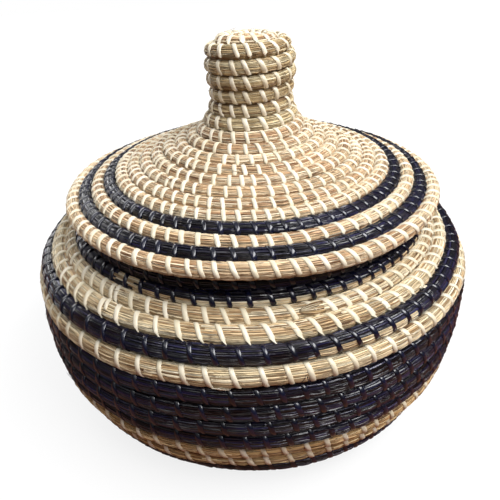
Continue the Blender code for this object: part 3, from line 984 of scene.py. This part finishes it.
# Knob, wall: six rows of natural grass, a hollow stub that widens a little at the top. It is wound
# straight on from the cone, and sewn with cream strip.
# Dried grass of the knob's wall: khaki blades, darker than the cone's, and as matt as the rest
knob_wall_grass = grass_material(
    "knob_wall_dried_grass",
    {0.16: "#54391f", 0.32: "#ae8f66", 0.50: "#d0b88a", 0.74: "#e8dbb8"}, worn="#dccda4",
)
sew_run(
    "knob_wall_coil", "lid", lid_sewing, rows=(12, 18), blades=(14, 8), seed=15,
    grass=[knob_wall_grass], sewn=IN_CREAM,
)


# Knob, top: the small spiral of natural grass that the lid's coil starts with, from a thin tip
# curled up in the middle. Its stitches of cream strip lie close together.
sew_run(
    "knob_top_coil", "lid", lid_sewing, rows=(18, None), blades=(10, 8), width=0.0032, seed=16,
    grass=[natural_grass], sewn=IN_CREAM,
)


# Floor: a plain pale ground of painted board. The camera sees it white but for the soft shadow of
# the basket, and what it throws up at the basket is warm and dim.
floor_shape = bmesh.new()
bmesh.ops.create_circle(floor_shape, cap_ends=True, segments=64, radius=3.0)
floor_mesh = bpy.data.meshes.new("floor")
floor_shape.to_mesh(floor_mesh)
floor_shape.free()
floor = bpy.data.objects.new("floor", floor_mesh)
scene.collection.objects.link(floor)
# Matt pale paint: it has next to no gloss, so the eye sees only the shadow on it
floor_paint, floor_tree, floor_shader = new_material("matt_pale_paint")
ray = add_node(floor_tree, "LightPath")
mirrored = add_node(
    floor_tree, "Math",
    [(0, ray.outputs["Is Glossy Ray"]), (1, ray.outputs["Is Transmission Ray"])],
    operation="MAXIMUM",
)
# A gloss on the basket's underside sees ground that lies in its own shadow, so less of the white
white_in_gloss = 0.08
straight = add_node(
    floor_tree, "Math",
    [(0, mirrored), (1, white_in_gloss), (2, ray.outputs["Is Camera Ray"])],
    operation="MULTIPLY_ADD",
)
ground = add_node(
    floor_tree, "Mix",
    [("Factor", ray.outputs["Is Camera Ray"]), ("A", linear("#6c340c")), ("B", linear("#707070"))],
    data_type="RGBA",
)
# The white grows from the shadow's place outwards
shadow_reach, full_white, white_in_shadow = 0.15, 0.8, 0.83
spot = add_node(floor_tree, "TexCoord")
far = add_node(floor_tree, "VectorMath", [(0, spot.outputs["Object"])], operation="LENGTH")
glow = add_node(
    floor_tree, "MapRange",
    [("Value", far.outputs["Value"]), ("From Min", shadow_reach), ("From Max", full_white),
     ("To Min", white_in_shadow), ("To Max", 1.0)],
)
glow = add_node(floor_tree, "Math", [(0, glow), (1, straight)], operation="MULTIPLY")
feed(floor_tree, floor_shader, [
    ("Roughness", 0.9), ("Specular IOR Level", 0.1), ("Base Color", ground.outputs[2]),
    ("Emission Color", (1.0, 1.0, 1.0, 1.0)), ("Emission Strength", glow),
])
floor_mesh.materials.append(floor_paint)


# Light: one large soft lamp from the upper right, a weaker one from the upper left, one from behind
# on the left, and a pale sky, brightest overhead, that is white where the camera looks at it.
def add_lamp(name, place, target, width, height, power):
    lamp = bpy.data.lights.new(name, "AREA")
    lamp.shape = "RECTANGLE"
    lamp.size = width
    lamp.size_y = height
    lamp.energy = power
    obj = bpy.data.objects.new(name, lamp)
    obj.location = place
    obj.rotation_euler = (Vector(target) - Vector(place)).to_track_quat("-Z", "Y").to_euler()
    scene.collection.objects.link(obj)


add_lamp("key_lamp", (0.62, -0.32, 1.06), (0.0, 0.0, 0.12), 1.20, 0.60, 22.0)
add_lamp("fill_lamp", (-0.30, -0.40, 1.15), (0.0, 0.0, 0.12), 0.60, 0.60, 2.2)
add_lamp("back_lamp", (-0.70, 0.85, 0.60), (0.0, 0.0, 0.10), 0.90, 0.60, 5.5)
low_sky, high_sky = 0.03, 0.54
world = bpy.data.worlds.new("pale_sky")
scene.world = world
world.use_nodes = True
sky = world.node_tree
sky.nodes.clear()
way = add_node(sky, "TexCoord")
height = add_node(sky, "SeparateXYZ", [("Vector", way.outputs["Generated"])])
bright = add_node(
    sky, "MapRange",
    [("Value", height.outputs["Z"]), ("From Min", 0.15), ("From Max", 0.95), ("To Min", low_sky),
     ("To Max", high_sky)],
)
soft = add_node(sky, "Background", [("Color", linear("#f2f4f7")), ("Strength", bright)])
white = add_node(sky, "Background", [("Color", (1.0, 1.0, 1.0, 1.0)), ("Strength", 1.0)])
seen = add_node(sky, "LightPath")
choice = add_node(sky, "MixShader", [(0, seen.outputs["Is Camera Ray"]), (1, soft), (2, white)])
add_node(sky, "OutputWorld", [("Surface", choice)])
scene.view_settings.view_transform = "Standard"


# Camera: it stands where the photograph was taken from, found by fitting the model's rows to those
# in the picture. focal, shift_right and shift_down are in pixels of a picture 500 wide.
picture_width = 500.0
focal, shift_right, shift_down = 520.0, 1.59, -30.05
aim = Vector((0.0007, 0.0, 0.1143))
distance, elevation, roll = 0.3826, math.radians(27.703), math.radians(2.148)
lens = bpy.data.cameras.new("photo_camera")
lens.sensor_width = 36.0
lens.lens = focal / picture_width * lens.sensor_width
lens.shift_x = -shift_right / picture_width
lens.shift_y = shift_down / picture_width
lens.clip_start = 0.01
camera = bpy.data.objects.new("photo_camera", lens)
eye = aim + Vector((0.0, -math.cos(elevation), math.sin(elevation))) * distance
turn_to = (aim - eye).to_track_quat("-Z", "Y").to_matrix().to_4x4()
camera.matrix_world = Matrix.Translation(eye) @ turn_to @ Matrix.Rotation(-roll, 4, "Z")
scene.collection.objects.link(camera)
scene.camera = camera
